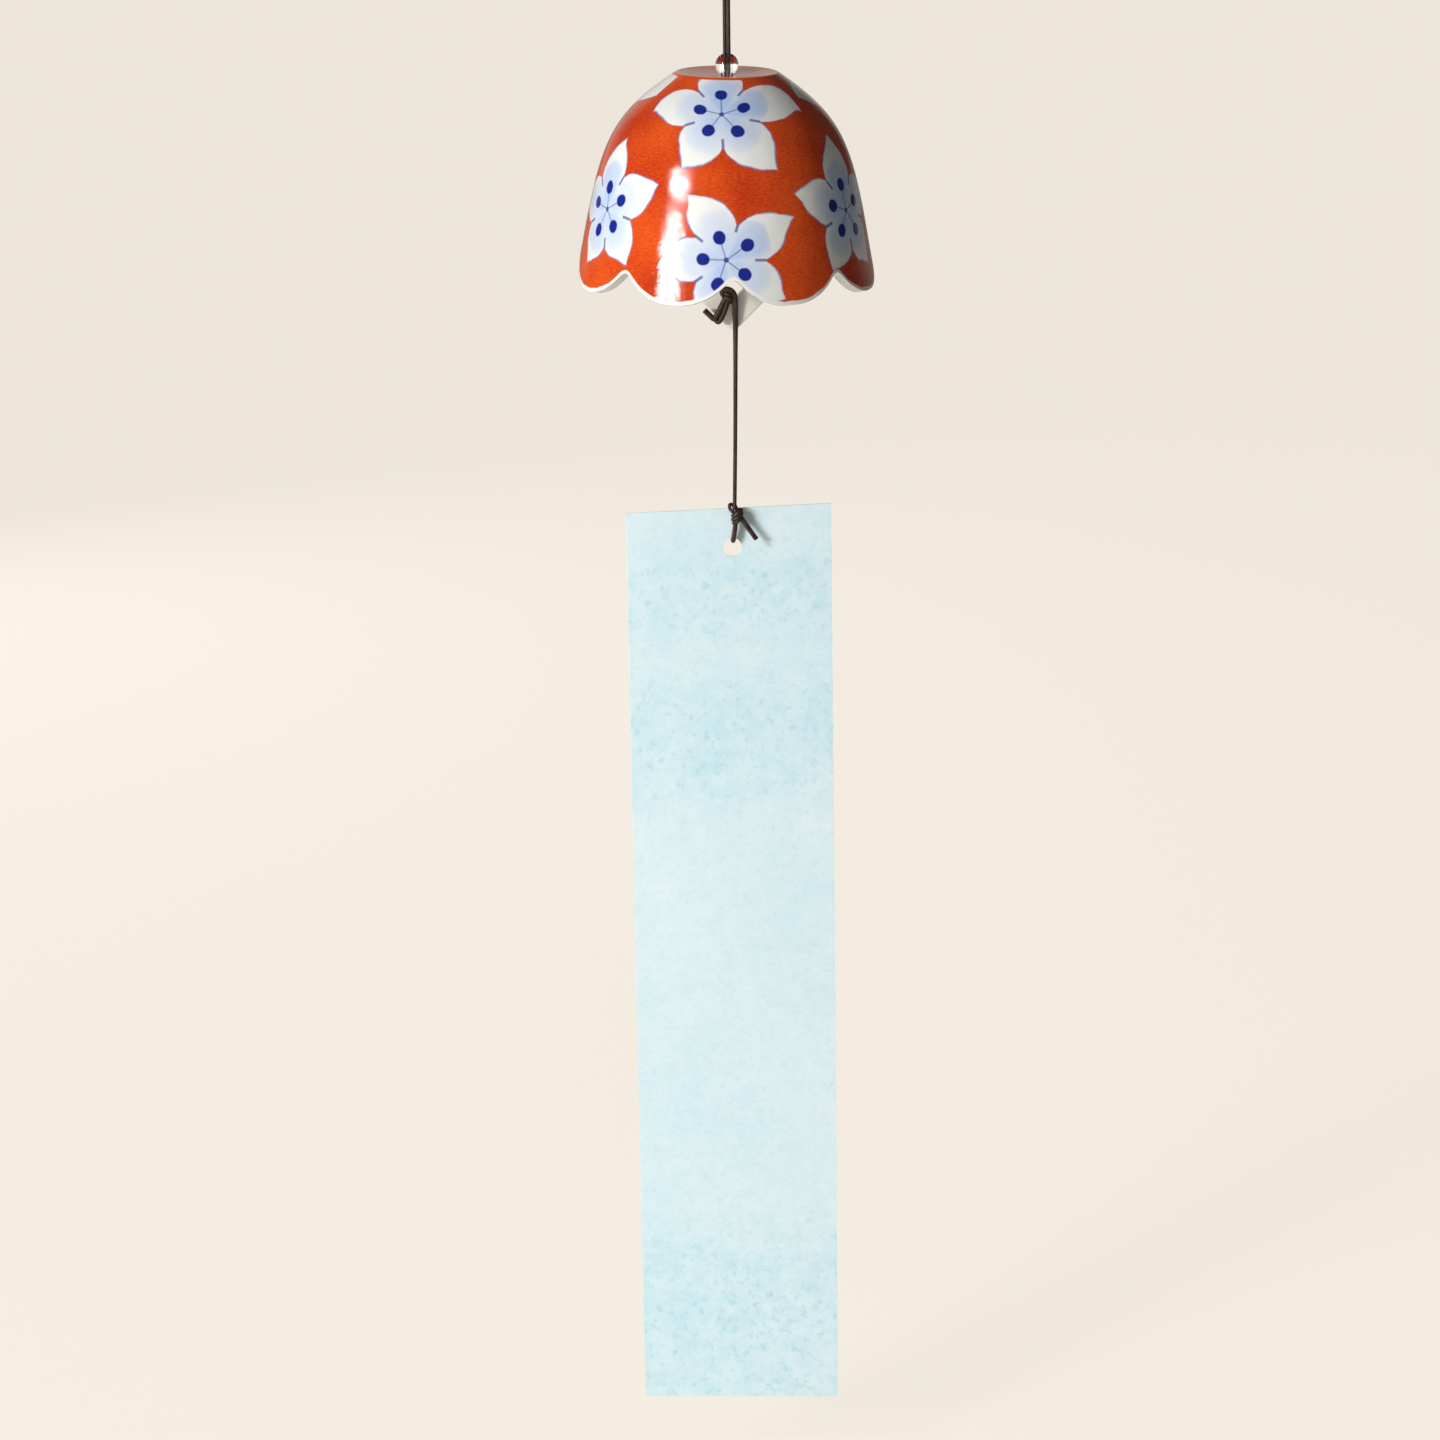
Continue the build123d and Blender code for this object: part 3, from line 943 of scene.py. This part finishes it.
class WINDBELL_OT_bead(bpy.types.Operator):
    """Models the clear glass bead on the crown"""

    bl_idname = "windbell.bead"
    bl_label = "Bead"

    def execute(self, context):
        size = context.scene.wind_bell_clapper
        radius = (BEAD_HIGH.x - BEAD_LOW.x) / 2
        middle = (BEAD_HIGH + BEAD_LOW) / 2
        deselect()
        bpy.ops.mesh.primitive_uv_sphere_add(segments=48, ring_count=24, radius=radius, location=middle)
        bead = named("glass_bead_clear")
        settle(bead)

        def aside(vertex):
            """How far a vertex lies from the bore's line."""
            return math.hypot(vertex.co.x, vertex.co.y)

        edit(bead)
        select_where(bead, "vertices", lambda vertex: aside(vertex) < 0.8 * size.bead_bore)
        bpy.ops.mesh.delete(type="VERT")
        bead.update_from_editmode()
        rim = min(aside(vertex) for vertex in bead.data.vertices)
        select_where(bead, "vertices", lambda vertex: aside(vertex) < 1.02 * rim)
        bore = size.bead_bore / rim
        bpy.ops.transform.resize(value=(bore, bore, 1), center_override=middle)
        bpy.ops.mesh.select_mode(type="EDGE")
        bpy.ops.mesh.bridge_edge_loops()
        face_outwards(bead)
        rounded(bead, size.bead_edge, 3, 45)
        shaped(bead, "SUBSURF", levels=1, render_levels=1)
        smooth(bead, 60)
        dress(bead, "clear_glass", clear_glass())
        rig.replaces(bead, "glass_bead")
        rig.ride(bead, "bead")
        return {"FINISHED"}


class WINDBELL_OT_clapper(bpy.types.Operator):
    """Models the square porcelain ring that strikes the bell"""

    bl_idname = "windbell.clapper"
    bl_label = "Clapper"

    def execute(self, context):
        size = context.scene.wind_bell_clapper
        middle = (CLAPPER_HIGH + CLAPPER_LOW) / 2
        thickness = CLAPPER_HIGH.y - CLAPPER_LOW.y
        deselect()
        bpy.ops.mesh.primitive_plane_add(size=size.side, location=(middle.x, CLAPPER_LOW.y, middle.z))
        clapper = named("clapper_ring")
        clapper.rotation_euler = (math.radians(90), math.radians(45), 0)
        settle(clapper)
        edit(clapper, "FACE")
        bpy.ops.mesh.inset(thickness=size.band)
        bpy.ops.mesh.delete(type="FACE")
        bpy.ops.mesh.select_all(action="SELECT")
        bpy.ops.mesh.extrude_region_move(TRANSFORM_OT_translate={"value": (0, thickness, 0)})
        hole_reach = (size.side / 2 - size.band) * math.sqrt(2) * 1.05

        def corner_edge(edge, outer):
            """Whether an edge runs from front to back at the ring's outer corners, or at the hole's."""
            first, second = (clapper.data.vertices[index].co for index in edge.vertices)
            reach = math.hypot(first.x - middle.x, first.z - middle.z)
            return abs(first.y - second.y) > thickness / 2 and (reach > hole_reach) == outer

        for outer, offset, segments in ((True, size.corner, 6), (False, size.hole_corner, 4)):
            select_where(clapper, "edges", lambda edge: corner_edge(edge, outer))
            bpy.ops.mesh.bevel(offset=offset, segments=segments, affect="EDGES")
        face_outwards(clapper)
        rounded(clapper, size.edge, 5, 60)
        smooth(clapper, 50)
        dress(clapper, "white_porcelain", white_glaze("clapper_porcelain", tuple(size.porcelain)))
        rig.replaces(clapper, "clapper")
        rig.ride(clapper, "clapper")
        return {"FINISHED"}


def cord_tube(name, points, diameter, fine=10, swell=()):
    """A round cord, as a mesh, on a smooth line with these control points, and the places on that line."""
    curve = bpy.data.curves.new(name, "CURVE")
    curve.dimensions = "3D"
    spline = curve.splines.new("NURBS")
    spline.points.add(len(points) - 1)
    for point, place in zip(spline.points, points):
        point.co = (*place, 1.0)
    for point, radius in zip(spline.points, swell):
        point.radius = radius
    spline.order_u = 3
    spline.use_endpoint_u = True
    spline.resolution_u = fine
    line = bpy.data.objects.new(name, curve)
    bpy.context.scene.collection.objects.link(line)
    bare = bpy.data.meshes.new_from_object(line)
    path = [vertex.co.copy() for vertex in bare.vertices]
    bpy.data.meshes.remove(bare)
    total = sum((after - before).length for before, after in zip(path, path[1:]))
    curve.bevel_depth = diameter / 2
    curve.bevel_resolution = 5
    curve.use_fill_caps = True
    pick(line)
    bpy.ops.object.convert(target="MESH")
    tube = named(name)
    face_outwards(tube)
    # The shader winds its threads along the cord's own length.
    run = tube.data.attributes.new("run", "FLOAT", "POINT")
    along = [0.0] * len(tube.data.vertices)
    for loop, corner in zip(tube.data.loops, tube.data.uv_layers[0].data):
        along[loop.vertex_index] = corner.uv[0] * total
    run.data.foreach_set("value", along)
    smooth(tube, 50)
    return tube, path


def dress_cord(tube, cord):
    """Gives a piece of cord the material that all cord shares, made at its first use."""
    dress(tube, "waxed_cord", bpy.data.materials.get("braided_cord") or waxed_cord(cord))


def cord_piece(cord, name, points, body, *nodes, fat=1.0, fine=10, swell=()):
    """A piece of cord that rides on one body and stands for these solids, fatter where it is pressed flat."""
    tube, path = cord_tube(name, points, cord.diameter * fat, fine, swell)
    dress_cord(tube, cord)
    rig.replaces(tube, *nodes)
    if body:
        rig.ride(tube, body)
    return tube, path


def wound_knot(cord, name, node, body, turns, tilt, shift=(0, 0, 0)):
    """A drawn-up knot: turns of cord wound over a core, in the room of its solid."""
    low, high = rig.box(node)
    middle = (low + high) / 2 + Vector(shift) * MM
    radius = (high.x - low.x) / 2 - cord.diameter / 2
    half = (high.z - low.z) / 2 - cord.diameter / 2
    points = []
    points_a_turn = 12
    steps = round(turns * points_a_turn)
    for step in range(steps + 1):
        part = 2 * step / steps - 1
        turn = math.pi * turns * part
        wide = radius * (0.55 + 0.45 * math.sqrt(max(0.0, 1 - part ** 2))) * 1.08
        place = Vector((wide * math.cos(turn), wide * math.sin(turn), 0))
        place.z = half * part * 0.92 + tilt * place.x
        points.append(middle + place)
    winding, _ = cord_tube(name, points, cord.diameter, 6)
    deselect()
    bpy.ops.mesh.primitive_uv_sphere_add(segments=24, ring_count=14, radius=1.0, location=middle)
    core = named(name + "_core")
    core.scale = (radius * 1.05, radius * 1.05, half * 1.1)
    settle(core)
    smooth(core, 80)
    core.data.attributes.new("run", "FLOAT", "POINT")
    pick(winding, core)
    bpy.ops.object.join()
    dress_cord(winding, cord)
    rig.replaces(winding, node)
    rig.ride(winding, body)
    return winding


class WINDBELL_OT_cords(bpy.types.Operator):
    """Lays the hanging cord, the clapper's cord and the cord to the strip, with their knots"""

    bl_idname = "windbell.cords"
    bl_label = "Cords and knots"

    # Ends and bights of the lower cord: piece, solid, fatness and places in mm from their knot's middle.
    clapper_ends = (
        ("clapper_knot_bight", "clapper_knot", 1.4, (
            (-2.4, 0.3, 1.4), (-3.6, -0.2, 3.3), (-1.2, -0.6, 3.9),
            (0.5, -0.6, 2.6), (0.8, -0.4, 0.2), (0.8, 0.2, -2.6),
        )),
        ("clapper_folded_end", "clapper_tail", 1.4, (
            (-1.0, -0.2, 1.6), (-2.0, -0.6, -2.0), (-3.2, -0.7, -4.6),
            (-4.1, -0.7, -5.9), (-5.0, -0.3, -5.0), (-4.2, 0.1, -3.0),
        )),
        ("clapper_cut_end", "clapper_tail", 1.55, (
            (-1.9, -0.4, 1.4), (-3.4, -0.8, -1.6), (-4.7, -0.9, -4.0),
            (-5.2, -0.9, -4.9), (-5.9, -0.9, -4.3), (-8.0, -0.9, -2.2),
        )),
    )
    strip_ends = (
        ("strip_cut_end", "strip_tail", 1.35, ((1.0, 0, 0.6), (3.4, -0.1, -2.9), (6.2, -0.1, -7.0))),
        ("strip_knot_bight", "strip_knot", 0.95, (
            (-0.3, -0.9, 1.2), (-1.4, -0.6, 1.8), (-1.5, 0.2, 3.5), (-0.2, 1.3, 2.8), (0.5, 1.1, 1.2),
        )),
    )

    def execute(self, context):
        cord = context.scene.wind_bell_cord
        self.hanging(cord)
        self.inside(cord)
        self.below(cord)
        return {"FINISHED"}

    def hanging(self, cord):
        """The doubled cord from its eye to the stop knot inside the bell."""
        near = cord.spacing / 2
        throat = JOINT_PLACES["cord_swing"][2]
        middle = JOINT_PLACES["bell_swing"][2]
        split = (throat + middle) / 2
        bend = 2.0 * MM
        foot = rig.box("bell_cord")[0].z
        low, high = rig.box("hanging_eye")
        wide = (high.x - low.x - cord.diameter) / 2
        left = [
            (-near, 0, split),
            (-near, 0, low.z - 1.5 * MM),
            (-near, 0, low.z + 2.0 * MM),
            (-wide, 0, low.z + 8.0 * MM),
            (-wide, 0, cord.diameter / 2),
        ]
        points = left + [(-x, y, z) for x, y, z in reversed(left)]
        eye, path = cord_piece(cord, "hanging_cord", points, None, "hanging_eye", "upper_cord")
        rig.blend(eye, "hanging_loop", "upper_cord", (0, 0, throat + bend), (0, 0, throat - bend))
        pieces = []
        for name, side in (("left_strand", -near), ("right_strand", near)):
            line = [(side, 0, split), (side, 0, middle), (side, 0, foot)]
            strand, _ = cord_piece(cord, name, line, None, "bell_cord", fine=24)
            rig.blend(strand, "upper_cord", "bell_cord", (0, 0, middle + bend), (0, 0, middle - bend))
            pieces.append(strand)
        pieces.append(wound_knot(cord, "stop_knot_wound", "stop_knot", "bell_cord", 5.0, 0.25))
        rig.cord(
            eye, exit=(-near, 0, split), length=0.045, diameter=cord.diameter, far_end="object",
            stiffness="limp", lay="taut", path=path, with_pieces=pieces,
        )

    def inside(self, cord):
        """The single cord inside the bell, and its tie round the clapper's top corner."""
        half = cord.diameter / 2
        top = Vector(JOINT_PLACES["clapper_swing"]) + Vector((0, 0, 1.0 * MM))
        end = Vector(JOINT_PLACES["clapper_tilt"]) - Vector((0, 0, 0.9 * MM))
        middle = (top + end) / 2 + Vector((0.15 * MM, 0, 0))
        route = [top, middle, end]
        line, path = cord_piece(cord, "clapper_cord_line", route, "clapper_cord", "clapper_cord")
        knot = wound_knot(cord, "clapper_top_knot_wound", "clapper_top_knot", "clapper", 2.0, 0.2)
        low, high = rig.box("clapper_top_loop")
        x = (low.x + high.x) / 2
        front, back, under, over = low.y + half, high.y - half, low.z + half, high.z - half
        shoulder = CLAPPER_HIGH.z + 0.7 * MM
        in_knot = 0.85 * MM
        tie = [
            (x, -in_knot, over),
            (x, front, shoulder),
            (x, front, under),
            (x, back, under),
            (x, back, shoulder),
            (x, in_knot, over),
        ]
        loop, _ = cord_piece(cord, "clapper_top_tie", tie, "clapper", "clapper_top_loop")
        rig.cord(
            line, exit=top, length=0.0319, diameter=cord.diameter, far_end="object",
            stiffness="limp", lay="taut", path=path, with_pieces=[knot, loop],
        )

    def below(self, cord):
        """The lower cord with its knot and ends at the clapper and at the strip."""
        half = cord.diameter / 2
        hinge = Vector(JOINT_PLACES["lower_swing"])
        bend = Vector((0, 0, 2.5 * MM))
        knot_at = sum(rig.box("clapper_knot"), Vector()) / 2
        strip_at = sum(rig.box("strip_knot"), Vector()) / 2
        x, y = hinge.x, hinge.y
        route = [
            knot_at + Vector((0.6, -0.3, 0.4)) * MM,
            knot_at + Vector((0.75, 0.4, -3.0)) * MM,
            hinge + Vector((0.7, 0, 0)) * MM,
            hinge + Vector((0.65, 0, -6.0)) * MM,
            hinge + Vector((0.4, 0, -30.0)) * MM,
            strip_at + Vector((0.1, 0, 6.0)) * MM,
            strip_at + Vector((0.02, 0, 3.0)) * MM,
            strip_at + Vector((0, 0, 1.2)) * MM,
        ]
        swell = 1.38, 1.38, 1.25, 1.1
        line, path = cord_piece(cord, "lower_cord_line", route, None, "lower_cord", fat=1.1, swell=swell)
        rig.blend(line, "clapper", "lower_cord", hinge + bend, hinge - bend)
        pieces = [
            wound_knot(
                cord, "clapper_knot_wound", "clapper_knot", "clapper", 2.4, -0.35, (-1.2, 0.1, 1.4)
            ),
            wound_knot(cord, "strip_knot_wound", "strip_knot", "strip", 3.4, 0.45, (0.7, 0, 0)),
        ]
        # Round the clapper's bottom corner.
        low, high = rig.box("clapper_tie")
        front, back, under, over = low.y + half, high.y - half, low.z + half, high.z - half
        tie = [
            (x + 0.3 * MM, front, knot_at.z - half),
            (x + 0.6 * MM, front, under),
            (x + 0.6 * MM, back, under),
            (x + 0.3 * MM, back, over),
            (x, front, over),
        ]
        pieces.append(cord_piece(cord, "clapper_bottom_tie", tie, "clapper", "clapper_tie")[0])
        pieces += self.ends(cord, self.clapper_ends, knot_at, "clapper")
        # Through the punched hole, behind the strip and over its top edge.
        low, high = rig.box("strip_loop")
        front, back, through, over = low.y - 0.1 * MM, high.y, low.z + half, high.z - half
        tie = [
            (x + 0.5 * MM, y, strip_at.z - 0.4 * MM),
            (x - 0.1 * MM, front, through + 2.5 * MM),
            (x - 0.5 * MM, front, through),
            (x - 0.5 * MM, back, through),
            (x - 0.1 * MM, back, over),
            (x + 0.2 * MM, y + 0.6 * MM, over),
        ]
        pieces.append(cord_piece(cord, "strip_tie", tie, "strip", "strip_loop", fat=1.35)[0])
        pieces += self.ends(cord, self.strip_ends, strip_at, "strip")
        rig.cord(
            line, exit=path[0], length=0.0605, diameter=cord.diameter, far_end="object",
            stiffness="limp", lay="hanging", path=path, with_pieces=pieces,
        )

    def ends(self, cord, table, middle, body):
        """The ends and bights that stick out of a knot."""
        pieces = []
        for name, node, fat, places in table:
            route = [middle + Vector(place) * MM for place in places]
            pieces.append(cord_piece(cord, name, route, body, node, fat=fat)[0])
        return pieces


class WINDBELL_OT_strip(bpy.types.Operator):
    """Makes the paper strip with its punched hole and slight twist"""

    bl_idname = "windbell.strip"
    bl_label = "Paper strip"

    def execute(self, context):
        size = context.scene.wind_bell_strip
        middle = (STRIP_HIGH + STRIP_LOW) / 2
        upright = (math.radians(90), 0, 0)
        deselect()
        bpy.ops.mesh.primitive_grid_add(x_subdivisions=40, y_subdivisions=190, size=1.0)
        strip = named("paper_strip_sheet")
        strip.scale = (size.width, size.height, 1.0)
        strip.rotation_euler = upright
        strip.location = middle
        settle(strip)
        shaped(strip, "SOLIDIFY", thickness=size.thickness, offset=0.0)
        deselect()
        hole = (middle.x + size.hole_aside, middle.y, STRIP_HIGH.z - size.hole_drop)
        bpy.ops.mesh.primitive_cylinder_add(
            vertices=64, radius=size.hole_radius, depth=10.0 * MM, location=hole, rotation=upright
        )
        punch = named("punch")
        settle(punch)
        shaped(strip, "BOOLEAN", operation="DIFFERENCE", object=punch, solver="EXACT")
        bpy.data.objects.remove(punch)
        face_outwards(strip)
        for vertex in strip.data.vertices:
            vertex.co = self.hang(vertex.co, size, middle)
        smooth(strip, 40)
        dress(strip, "blue_paper", dyed_paper(size))
        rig.replaces(strip, "paper_strip")
        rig.ride(strip, "strip")
        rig.sheet(strip, flat=(0.060, 0.285), held="hung", rests_on=["strip_tie"])
        return {"FINISHED"}

    def hang(self, place, size, middle):
        """Where a place of the flat strip hangs: turned a little, by less towards the foot."""
        part = (STRIP_HIGH.z - place.z) / size.height
        turn = size.top_turn + (size.foot_turn - size.top_turn) * part
        left = size.top_aside + (size.foot_aside - size.top_aside) * part
        aside = place.x - middle.x
        through = place.y - middle.y
        return Vector((
            middle.x - left + aside * math.cos(turn) - through * math.sin(turn),
            middle.y + aside * math.sin(turn) + through * math.cos(turn),
            place.z,
        ))


class WINDBELL_OT_stage(bpy.types.Operator):
    """Sets up the floor, the light and the camera"""

    bl_idname = "windbell.stage"
    bl_label = "Stage"

    def execute(self, context):
        stage = context.scene.wind_bell_stage
        context.scene.view_settings.view_transform = "Standard"
        self.floor(stage)
        self.world(context, stage)
        self.lamps(stage)
        self.camera(context, stage)
        return {"FINISHED"}

    def floor(self, stage):
        """A wide pale floor below the strip."""
        deselect()
        bpy.ops.mesh.primitive_plane_add(size=40.0, location=(0, 0, STRIP_LOW.z - 30.0 * MM))
        floor = named("floor")
        shader = Shader("pale_floor")
        shader.set(Base_Color=stage.floor, Roughness=0.9, Specular_IOR_Level=0.0)
        seen, glossy = shader.rays()
        glow = shader.node("ShaderNodeEmission", None, {"Color": stage.floor, "Strength": 1.0})
        shown = shader.mix_surfaces((seen + glossy * 0.12) * 0.88, shader.surface, glow)
        shader.show(shown, "Material Output")
        floor.data.materials.append(shader.owner)
        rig.stage(floor)

    def world(self, context, stage):
        """Even light all round; the camera, the glass and the glaze see the pale background."""
        daylight = (1.0, 0.985, 0.965)
        shader = Shader("studio", "Background")
        shader.set(Color=daylight, Strength=stage.fill)
        room = shader.node("ShaderNodeBackground", None, {"Color": daylight, "Strength": stage.fill * 0.35})
        pale = shader.node("ShaderNodeBackground", None, {"Color": stage.floor, "Strength": 0.9})
        across, away, _ = shader.split(shader.place("Generated"))
        behind = away.over(0.62, 0.99) * across.over(0.45, 0.15) * 0.55
        seen, glossy = shader.rays()
        # The glaze mirrors a darker room than the one that lights it, apart from the background behind.
        around = shader.mix_surfaces(glossy, shader.surface, room)
        shader.show(shader.mix_surfaces(seen + glossy * behind, around, pale), "World Output")
        context.scene.world = shader.owner

    def lamps(self, stage):
        """Two soft lamps, one over the other, at the front left, and a weak wide one behind."""
        target = Vector((0, 0, -0.10))
        distance = 1.3
        front = Vector((-0.67, -0.69, 0.30)).normalized()
        back = Vector((-0.45, 0.88, 0.12)).normalized()
        for name, part, wide, tall, direction, above in (
            ("upper_lamp", 0.45, 0.36, 0.11, front, 0.18),
            ("lower_lamp", 0.55, 0.36, 0.08, front, -0.17),
            ("back_lamp", 0.35, 0.60, 0.60, back, 0.0),
        ):
            turn = (-direction).to_track_quat("-Z", "Y")
            place = target + direction * distance + turn @ Vector((0, above, 0))
            bpy.ops.object.light_add(type="AREA", location=place)
            lamp = named(name)
            lamp.visible_camera = False
            lamp.visible_glossy = direction is front
            lamp.data.shape = "ELLIPSE"
            lamp.data.size = wide
            lamp.data.size_y = tall
            lamp.data.energy = stage.lamp_watts * part
            lamp.data.color = (1.0, 0.99, 0.98)
            lamp.rotation_euler = turn.to_euler()

    def camera(self, context, stage):
        """The camera at the photograph's place, looking down at the bell."""
        data = bpy.data.cameras.new("camera")
        data.lens = stage.lens
        data.sensor_width = 36.0
        camera = bpy.data.objects.new("camera", data)
        context.scene.collection.objects.link(camera)
        forward = Vector((0, math.cos(stage.pitch), -math.sin(stage.pitch)))
        level_up = Vector((0, math.sin(stage.pitch), math.cos(stage.pitch)))
        level_right = Vector((1, 0, 0))
        right = level_right * math.cos(stage.roll) + level_up * math.sin(stage.roll)
        up = level_up * math.cos(stage.roll) - level_right * math.sin(stage.roll)
        from_crown = Vector((-3.83, -987.88, 117.89)) * MM
        turned = Matrix((right, up, -forward)).transposed().to_4x4()
        camera.matrix_world = Matrix.Translation(Vector((0, 0, BELL_HIGH.z)) + from_crown) @ turned
        context.scene.camera = camera


OPERATORS = (
    WINDBELL_OT_stage,
    WINDBELL_OT_cords,
    WINDBELL_OT_bell,
    WINDBELL_OT_bead,
    WINDBELL_OT_clapper,
    WINDBELL_OT_strip,
)


class WINDBELL_PT_pieces(bpy.types.Panel):
    """The wind bell's pieces in the sidebar"""

    bl_idname = "WINDBELL_PT_pieces"
    bl_label = "Wind Bell"
    bl_space_type = "VIEW_3D"
    bl_region_type = "UI"
    bl_category = "Wind Bell"

    def draw(self, context):
        for operator in OPERATORS:
            self.layout.operator(operator.bl_idname)


SETTINGS = {
    "wind_bell_shell": WindBellShell,
    "wind_bell_paint": WindBellPaint,
    "wind_bell_clapper": WindBellClapper,
    "wind_bell_cord": WindBellCord,
    "wind_bell_strip": WindBellStrip,
    "wind_bell_stage": WindBellStage,
}


def register():
    """Registers the settings, the operators and the panel."""
    for name, group in SETTINGS.items():
        bpy.utils.register_class(group)
        setattr(bpy.types.Scene, name, PointerProperty(type=group))
    for operator in OPERATORS:
        bpy.utils.register_class(operator)
    bpy.utils.register_class(WINDBELL_PT_pieces)


def unregister():
    """Removes what register added."""
    bpy.utils.unregister_class(WINDBELL_PT_pieces)
    for operator in reversed(OPERATORS):
        bpy.utils.unregister_class(operator)
    for name, group in reversed(SETTINGS.items()):
        delattr(bpy.types.Scene, name)
        bpy.utils.unregister_class(group)


def main():
    """Builds every piece in order and writes the boxes of the solids and of the finished model."""
    register()
    for operator in OPERATORS:
        group, name = operator.bl_idname.split(".")
        getattr(getattr(bpy.ops, group), name)()
    boxes = {
        "cad": [list(corner) for corner in CAD_BOX],
        "visual": [list(corner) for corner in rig.bounds()],
    }
    with open("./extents.json", "w") as file:
        json.dump(boxes, file)


if __name__ == "__main__":
    main()
